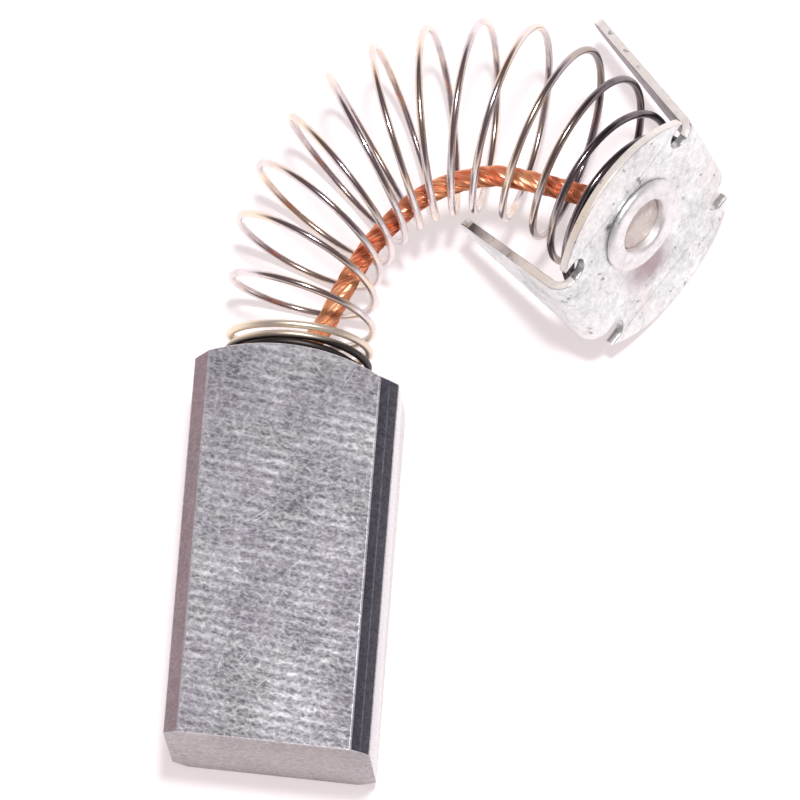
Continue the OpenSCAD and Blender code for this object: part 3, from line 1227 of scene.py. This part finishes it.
def swept(name: str, routes: list[list[Vector]], radius: float, resolution: int) -> bpy.types.Object:
    """Sweeps a round wire along each route and makes one mesh of them.

    Args:
        name: The piece's name.
        routes: The routes' points, in metres.
        radius: The wire's radius, in millimetres.
        resolution: The section's fineness.

    Returns:
        The mesh object.
    """
    curve = bpy.data.curves.new(name, "CURVE")
    curve.dimensions = "3D"
    curve.bevel_depth = radius * MM
    curve.bevel_resolution = resolution
    curve.use_fill_caps = True
    for points in routes:
        spline = curve.splines.new("POLY")
        spline.points.add(len(points) - 1)
        for target, place in zip(spline.points, points):
            target.co = (*place, 1)
    piece = bpy.data.objects.new(name, curve)
    bpy.context.scene.collection.objects.link(piece)
    only(piece)
    bpy.ops.object.convert(target="MESH")
    piece = bpy.context.object
    piece.name = piece.data.name = name
    tidy_mesh(piece, distance=1e-8)
    return piece


class Ring(NamedTuple):
    """A section of the lead: its middle, its two directions across, and the length run up to it."""

    middle: Vector
    side: Vector
    up: Vector
    run: float


@dataclass
class LeadMaker:
    """The copper lead: bundles of fine wires twisted into one rope."""

    route: list[tuple[float, float, float]]
    diameter: float = 1.2
    bundles: int = 7
    wires: int = 9
    lay: float = 7.0
    bundle_lay: float = 3.2
    bundle_share: float = 0.172
    wire_share: float = 0.27
    core_share: float = 0.92
    rings: int = 250
    seed: int = 7

    @classmethod
    def between(cls, block: BlockMaker, cap: CapMaker) -> LeadMaker:
        """Lays the lead's route from the bottom of the block's bore to the back of the eyelet.

        Args:
            block: The block.
            cap: The cap.

        Returns:
            The lead's maker.
        """
        rear, middle = block.rear, block.thickness / 2
        eyelet, out = Vector(cap.place), Vector(cap.out)
        return cls([
            (0, rear - block.bore_depth, middle), (0, rear - 3, middle), (0, rear, middle),
            (0.06, rear + 0.7, middle + 0.02), (1.15, 13.4, 4.4), (2.25, 15.8, 4.8), (3.75, 18.2, 5.3),
            (6.15, 20.4, 5.9), (9.35, 21.4, 6.5), (12.55, 20.9, 7.1),
            tuple(eyelet + (cap.back - 1.8) * out), tuple(eyelet + cap.back * out)])

    def build(self) -> bpy.types.Object:
        """Lays the wires along the lead's route, round a plain core.

        Returns:
            The lead.
        """
        rings = self._sections()
        chance = random.Random(self.seed)
        bundle_radius = self.diameter * self.bundle_share
        wire_radius = bundle_radius * self.wire_share
        around = self.diameter / 2 - bundle_radius
        routes = []
        for bundle in range(self.bundles):
            bundle_turn = 360 * bundle / self.bundles + chance.uniform(-4, 4)
            for wire in range(self.wires):
                wire_turn = 360 * wire / self.wires + chance.uniform(-7, 7)
                out = (bundle_radius - wire_radius) * chance.uniform(0.93, 1.0)
                routes.append([self._on_wire(ring, bundle_turn, around, wire_turn, out) for ring in rings])
        wires = swept("lead_wires", routes, wire_radius, resolution=0)
        middle = [ring.middle * MM for ring in rings]
        core = swept("lead_core", [middle], around * self.core_share, resolution=3)
        only(wires)
        core.select_set(True)
        bpy.ops.object.join()
        smooth(wires, 60)
        return dress(wires, "copper_lead", "copper", COPPER.build())

    def _sections(self) -> list[Ring]:
        """Follows the route.

        Returns:
            The lead's sections, in millimetres.
        """
        rows = [(float(i), *place) for i, place in enumerate(self.route)]
        last = len(rows) - 1
        middle = [Vector(smooth_row(rows, last * i / (self.rings - 1))[1:]) for i in range(self.rings)]
        run, rings = 0.0, []
        for i, here in enumerate(middle):
            ahead = (middle[min(i + 1, self.rings - 1)] - middle[max(i - 1, 0)]).normalized()
            side = ahead.cross(Vector((0, 0, 1))).normalized()
            rings.append(Ring(here, side, side.cross(ahead), run))
            if i + 1 < self.rings:
                run += (middle[i + 1] - here).length
        return rings

    def _on_wire(self, ring: Ring, bundle_turn: float, around: float, wire_turn: float, out: float) -> Vector:
        """Gives one wire's place in a section of the lead.

        Args:
            ring: The section.
            bundle_turn: Where the wire's bundle starts round the lead, in degrees.
            around: How far the bundle's middle is from the lead's, in millimetres.
            wire_turn: Where the wire starts round its bundle, in degrees.
            out: How far the wire's middle is from its bundle's, in millimetres.

        Returns:
            The place, in metres.
        """
        turn = math.radians(bundle_turn + 360 * ring.run / self.lay)
        outward = math.cos(turn) * ring.up + math.sin(turn) * ring.side
        across = -math.sin(turn) * ring.up + math.cos(turn) * ring.side
        twist = math.radians(wire_turn + 360 * ring.run / self.bundle_lay)
        return (ring.middle + around * outward
                + out * (math.cos(twist) * outward + math.sin(twist) * across)) * MM


@dataclass
class CapMaker:
    """The terminal cap: a folded sheet with its eyelet and the lead's fused end."""

    x: float = 17.75
    y: float = 18.85
    turn: float = 57.2
    lean: float = 17.7
    sheet: float = 0.5
    plate_radius: float = 6.8
    eyelet_rise: float = 1.3
    width: float = 12.0
    fold_radius: float = 0.6
    far_arm: float = 10.0
    near_arm: float = 8.2
    far_splay: float = 17.0
    near_lean: float = 7.0
    root_height: float = 6.2
    tip_height: float = 1.8
    notch_width: float = 1.3
    notch_depth: float = 0.35
    flange: float = 5.5
    flange_height: float = 0.4
    bore: float = 3.16
    barrel_wall: float = 0.27
    inner_flange: float = 0.25
    worn_edge: float = 0.07

    @property
    def place(self) -> tuple[float, float, float]:
        """Where the eyelet meets the plate: the plate's rim stands on the table, in millimetres."""
        lean = math.radians(self.lean)
        height = (self.plate_radius + self.eyelet_rise) * math.cos(lean) + self.sheet * math.sin(lean)
        return (self.x, self.y, height)

    @property
    def back(self) -> float:
        """How far along the outward direction the eyelet's inner flange ends, in millimetres."""
        return -self.sheet - self.inner_flange

    @property
    def frame(self) -> Matrix:
        """The cap's own frame: X across the plate, Y up it, Z outward."""
        return (Matrix.Translation(Vector(self.place) * MM)
                @ Matrix.Rotation(math.radians(self.turn), 4, "Z")
                @ Matrix.Rotation(math.radians(90 - self.lean), 4, "X"))

    @property
    def out(self) -> tuple[float, float, float]:
        """The plate's outward direction."""
        return tuple(self.frame.to_3x3() @ Vector((0, 0, 1)))

    @property
    def fold_x(self) -> float:
        """Where the plate ends and its folds begin, in millimetres."""
        return self.width / 2 - self.fold_radius - self.sheet

    def build(self) -> list[bpy.types.Object]:
        """Models the sheet, the eyelet and the weld.

        Returns:
            The three pieces.
        """
        return [self._sheet(), self._eyelet(), self._weld()]

    def _plate(self) -> bpy.types.Object:
        """Models the round plate with its slots.

        Returns:
            The plate, in the cap's frame.
        """
        bpy.ops.mesh.primitive_circle_add(vertices=192, radius=self.plate_radius * MM, fill_type="NGON",
                                          location=(0, -self.eyelet_rise * MM, -self.sheet * MM))
        plate = added("cap_plate")
        with editing(plate):
            bpy.ops.mesh.select_all(action="SELECT")
            bpy.ops.mesh.extrude_region_move(TRANSFORM_OT_translate={"value": (0, 0, self.sheet * MM)})
        tidy_mesh(plate)
        through, reach, run_out = 4, 8, 6
        start_x = self.fold_x - self.notch_depth
        for side in (-1, 1):
            fold_tool = box("fold_tool", (side * (self.fold_x + reach / 2), -self.eyelet_rise, 0),
                            (reach, self.root_height + self.notch_width, through))
            carve(plate, fold_tool, Cut.DIFFERENCE)
            for end in (-1, 1):
                centre_y = end * (self.root_height / 2 + self.notch_width / 2) - self.eyelet_rise
                tool = rod("slot_tool", (side * start_x, centre_y, 0), self.notch_width / 2, through,
                           sides=48)
                pull(tool, lambda v, s=side: v.x * s > start_x * MM, (side * run_out, 0, 0))
                carve(plate, tool, Cut.DIFFERENCE)
        return plate

    def _arm(self, side: int, angle: float, length: float) -> bpy.types.Object:
        """Models one fold and its arm from a tab of the plate.

        Args:
            side: 1 for the far arm, -1 for the near one.
            angle: How far the fold turns, in degrees.
            length: The arm's length past the fold, in millimetres.

        Returns:
            The fold and arm, in the cap's frame.
        """
        tab = self.notch_depth
        arm = box("cap_arm", (self.fold_x - tab / 2, 0, -self.sheet / 2), (tab, self.root_height, self.sheet))
        turn = math.radians(angle)
        centre = Vector((self.fold_x, 0, -self.fold_radius - self.sheet)) * MM
        with editing(arm):
            pick(arm, Part.FACES, lambda c, n: n.x > 0.9)
            bpy.ops.mesh.spin(steps=20, angle=turn, center=centre, axis=(0, -1, 0))
        along = Vector((math.cos(turn), 0, -math.sin(turn)))
        spoke = Vector((math.sin(turn), 0, math.cos(turn)))
        face_at = centre + (self.fold_radius + self.sheet / 2) * MM * spoke
        root, tip = self.root_height / 2, self.tip_height / 2
        straight, parts = length - tip, 12
        stops = [(straight * i / parts, root + (tip * 0.98 - root) * i / parts) for i in range(1, parts + 1)]
        stops += [(straight + tip * math.sin(math.radians(a)), tip * math.cos(math.radians(a)))
                  for a in (15, 30, 45, 60, 72, 82)]
        with editing(arm):
            pick(arm, Part.FACES, lambda c, n: (c - face_at).length < 1e-5 and n.dot(along) > 0.9)
            reached, half = 0.0, root
            for stop, next_half in stops:
                step = along * (stop - reached) * MM
                bpy.ops.mesh.extrude_region_move(TRANSFORM_OT_translate={"value": step})
                share = next_half / half
                bpy.ops.transform.resize(value=(1, share, 1), center_override=(0, 0, 0))
                reached, half = stop, next_half
        tidy_mesh(arm)
        arm.data.transform(Matrix.Translation((0, -self.eyelet_rise * MM, 0)))
        if side < 0:
            only(arm)
            bpy.ops.transform.mirror(constraint_axis=(True, False, False))
            bpy.ops.object.transform_apply(location=True, rotation=True, scale=True)
            tidy_mesh(arm)
        return arm

    def _sheet(self) -> bpy.types.Object:
        """Joins the plate, its two folds and its arms, and rounds their edges.

        Returns:
            The dressed sheet.
        """
        sheet = self._plate()
        carve(sheet, self._arm(1, 90 - self.far_splay, self.far_arm), Cut.UNION)
        carve(sheet, self._arm(-1, 90 + self.near_lean, self.near_arm), Cut.UNION)
        through = 3
        hole_tool = rod("hole_tool", (0, 0, 0), self.bore / 2 + self.barrel_wall, through, sides=96)
        carve(sheet, hole_tool, Cut.DIFFERENCE)
        sheet.name = sheet.data.name = "cap_sheet"
        with editing(sheet):
            bpy.ops.mesh.select_all(action="SELECT")
            bpy.ops.mesh.dissolve_limited(angle_limit=math.radians(0.6))
        tidy_mesh(sheet, distance=0.004 * MM)
        self._flatten(sheet)
        soften(sheet, self.worn_edge * MM, segments=3, over_angle=40)
        smooth(sheet, 35)
        even = sheet.modifiers.new("even_normals", "WEIGHTED_NORMAL")
        even.keep_sharp = True
        bpy.ops.object.modifier_apply(modifier=even.name)
        edge_faces = [face.index for face in sheet.data.polygons if self._on_the_cut(face)]
        # The arms' inner faces take the painted-shade copy of the plating.
        inner_faces = [face.index for face in sheet.data.polygons if self._on_the_inside(face)]
        sheet.data.transform(self.frame)
        dress(sheet, "terminal_cap", "plated_sheet", PLATED.build(), CUT_EDGE.build(), PLATED_SHADED_INSIDE.build())
        for slot, faces in ((1, edge_faces), (2, inner_faces)):
            for index in faces:
                sheet.data.polygons[index].material_index = slot
        return sheet

    def _flatten(self, sheet: bpy.types.Object) -> None:
        """Puts the plate's two faces back on their planes, after doubles were merged.

        Args:
            sheet: The sheet, in the cap's frame.
        """
        off, over = 0.008 * MM, 0.01
        for vertex in sheet.data.vertices:
            for level in (0.0, -self.sheet * MM):
                if abs(vertex.co.z - level) < off and abs(vertex.co.x) < (self.fold_x + over) * MM:
                    vertex.co.z = level

    def _on_the_inside(self, face: bpy.types.MeshPolygon) -> bool:
        """Tells whether a face is on an arm's inner side.

        Args:
            face: A face of the sheet, in the cap's frame.

        Returns:
            True if it is.
        """
        normal, centre = face.normal, face.center
        past_fold = centre.z < -(self.sheet + self.fold_radius) * MM
        return past_fold and normal.x * centre.x < 0 and abs(normal.x) > 0.5

    def _on_the_cut(self, face: bpy.types.MeshPolygon) -> bool:
        """Tells whether a face belongs to the sheet's cut edge.

        Args:
            face: A face of the sheet, in the cap's frame.

        Returns:
            True if it does.
        """
        near = 0.05
        normal, centre = face.normal, face.center
        beside_fold = abs(centre.x) > (self.fold_x - near) * MM and abs(normal.y) > 0.75
        reach = math.hypot(centre.x, centre.y + self.eyelet_rise * MM)
        at_rim = reach > (self.plate_radius - near) * MM and centre.z > -self.sheet * MM
        return beside_fold or (at_rim and abs(normal.z) < 0.5)

    def _eyelet(self) -> bpy.types.Object:
        """Models the rolled eyelet.

        Returns:
            The dressed eyelet.
        """
        bore, rim, back, top = self.bore / 2, self.flange / 2, self.back, self.flange_height
        barrel = bore + self.barrel_wall
        inner = barrel + 0.55
        rings = [(bore, back), (inner - 0.06, back), (inner, back + 0.06), (inner, -self.sheet),
                 (barrel, -self.sheet), (barrel, 0.0), (rim - 0.1, 0.0), (rim - 0.02, 0.05), (rim, 0.12),
                 (rim - 0.01, 0.19), (rim - 0.05, 0.27), (rim - 0.12, 0.33), (rim - 0.22, 0.375),
                 (rim - 0.35, top), (bore + 0.35, top), (bore + 0.2, top - 0.02), (bore + 0.1, top - 0.07),
                 (bore + 0.03, top - 0.15), (bore, top - 0.26)]
        eyelet = turned("eyelet_ring", rings, closed=True)
        smooth(eyelet, 40)
        eyelet.data.transform(self.frame)
        return dress(eyelet, "cap_eyelet", "plated_sheet", PLATED_EYELET.build())

    def _weld(self) -> bpy.types.Object:
        """Models the fused end of the lead, with its uneven top.

        Returns:
            The dressed weld.
        """
        bore, top = self.bore / 2 - 0.005, -0.22
        rings = [(bore, self.back)] + [(bore, self.back + 0.05 + 0.1 * i) for i in range(4)]
        rings += [(bore * math.cos(math.radians(a)), top + 0.2 * math.sin(math.radians(a)))
                  for a in (12, 24, 36, 48, 60, 70, 78, 84)]
        weld = turned("weld_bead", rings, closed=False, sides=72)
        for vert in weld.data.vertices:
            if vert.co.z > -0.3 * MM:
                x, y = vert.co.x / MM, vert.co.y / MM
                lumps = math.sin(4.1 * x + 1.3) * math.cos(3.7 * y - 0.4) + 0.6 * math.sin(7.3 * x - 5.9 * y)
                vert.co.z += (0.035 * lumps - 0.09 * y / bore - 0.03) * MM
        smooth(weld, 60)
        weld.data.transform(self.frame)
        return dress(weld, "lead_weld", "weld", WELD.build())


# --- Studio ----------------------------------------------------------------------


@dataclass
class Studio:
    """The pale floor, the soft light and the camera."""

    aim: tuple[float, float, float] = (5.62, 8.51, 7.25)
    right: tuple[float, float, float] = (0.99539, 0.07758, -0.05638)
    up: tuple[float, float, float] = (-0.06007, 0.96265, 0.26400)
    back: tuple[float, float, float] = (0.07476, -0.25940, 0.96287)
    distance: float = 600.0
    field: float = 42.6
    lamp_toward: tuple[float, float, float] = (0.09, 0.08, 1.0)
    lamp_size: float = 0.055
    lamp_power: float = 1.5
    lamp_away: float = 0.45
    floor_size: float = 3.0

    def build(self) -> None:
        """Sets up the whole studio."""
        self._camera()
        self._floor()
        self._lights()
        bpy.context.scene.view_settings.view_transform = "Standard"

    def _camera(self) -> None:
        """Places the camera far off, with a long lens."""
        data = bpy.data.cameras.new("studio_camera")
        data.lens = data.sensor_width * self.distance / self.field
        data.clip_start, data.clip_end = 0.01, 10.0
        camera = bpy.data.objects.new("studio_camera", data)
        axes = Matrix((self.right, self.up, self.back)).transposed().to_4x4()
        place = Vector(self.aim) + self.distance * Vector(self.back)
        camera.matrix_world = Matrix.Translation(place * MM) @ axes
        bpy.context.scene.collection.objects.link(camera)
        bpy.context.scene.camera = camera

    def _floor(self) -> None:
        """Lays the white floor, which keeps the shadows and shows white where it has none."""
        bpy.ops.mesh.primitive_plane_add(size=self.floor_size, location=(0, 0, 0))
        floor = added("studio_floor")
        bench = Bench("white_floor")
        rays = bench.node("LightPath").outputs
        mirrored = bench.maths("MAXIMUM", rays["Is Glossy Ray"], rays["Is Transmission Ray"])
        seen = bench.maths("MAXIMUM", rays["Is Camera Ray"], mirrored)
        paint = {"Base Color": (0.64, 0.61, 0.62), "Roughness": 1.0, "Specular IOR Level": 0.0}
        for key, value in paint.items():
            bench.feed(bench.shader.inputs[key], value)
        glow = bench.node("Emission", {"Color": (1.0, 0.9, 0.905, 1)})
        bench.join(bench.maths("MULTIPLY", seen, 0.5), glow.inputs["Strength"])
        both = bench.node("AddShader")
        bench.join(bench.shader.outputs[0], both.inputs[0])
        bench.join(glow.outputs[0], both.inputs[1])
        bench.join(both.outputs[0], bench.tree.nodes["Material Output"].inputs["Surface"])
        floor.data.materials.append(bench.material)

    def _lights(self) -> None:
        """Hangs the lamp over the table and sets the room round it."""
        lamp = bpy.data.lights.new("soft_lamp", "AREA")
        lamp.shape = "DISK"
        lamp.size = self.lamp_size
        lamp.energy = self.lamp_power
        holder = bpy.data.objects.new("soft_lamp", lamp)
        toward = Vector(self.lamp_toward).normalized()
        holder.location = Vector(self.aim) * MM + toward * self.lamp_away
        holder.rotation_mode = "QUATERNION"
        holder.rotation_quaternion = toward.to_track_quat("Z", "Y")
        bpy.context.scene.collection.objects.link(holder)
        self._room()

    def _room(self) -> None:
        """Sets the room: plain for soft light, and in metal white low down and dim overhead."""
        world = bpy.data.worlds.new("studio_room")
        bpy.context.scene.world = world
        world.use_nodes = True
        room = Wiring(world.node_tree)
        rays = room.node("LightPath").outputs
        overhead = room.ranged(room.split(room.node("TexCoord").outputs["Generated"])["Z"], 0.1, 0.42)
        dome = room.mixed(overhead, (0.97, 0.94, 0.95), (0.13, 0.095, 0.105))
        soft = room.mixed(rays["Is Glossy Ray"], (0.5, 0.483, 0.488), dome)
        seen = room.mixed(rays["Is Camera Ray"], soft, (1.0, 1.0, 1.0))
        ground = room.tree.nodes["Background"]
        room.join(seen, ground.inputs["Color"])
        ground.inputs["Strength"].default_value = 1.0


# --- The whole brush -----------------------------------------------------------


def main() -> None:
    """Builds the pieces in order, and then the studio."""
    logging.basicConfig(level=logging.INFO, format="%(name)s: %(message)s")
    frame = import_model()
    mottle_group()
    network_group()
    scratches_group()
    block, cap = BlockMaker(), CapMaker()
    block.build()
    plug = frame["nodes"]["lead_tamping"]
    plug.data.materials.clear()
    plug.data.materials.append(TAMPING.build())
    LeadMaker.between(block, cap).build()
    SpringMaker.between(block, cap).build()
    cap.build()
    Studio().build()


if __name__ == "__main__":
    main()
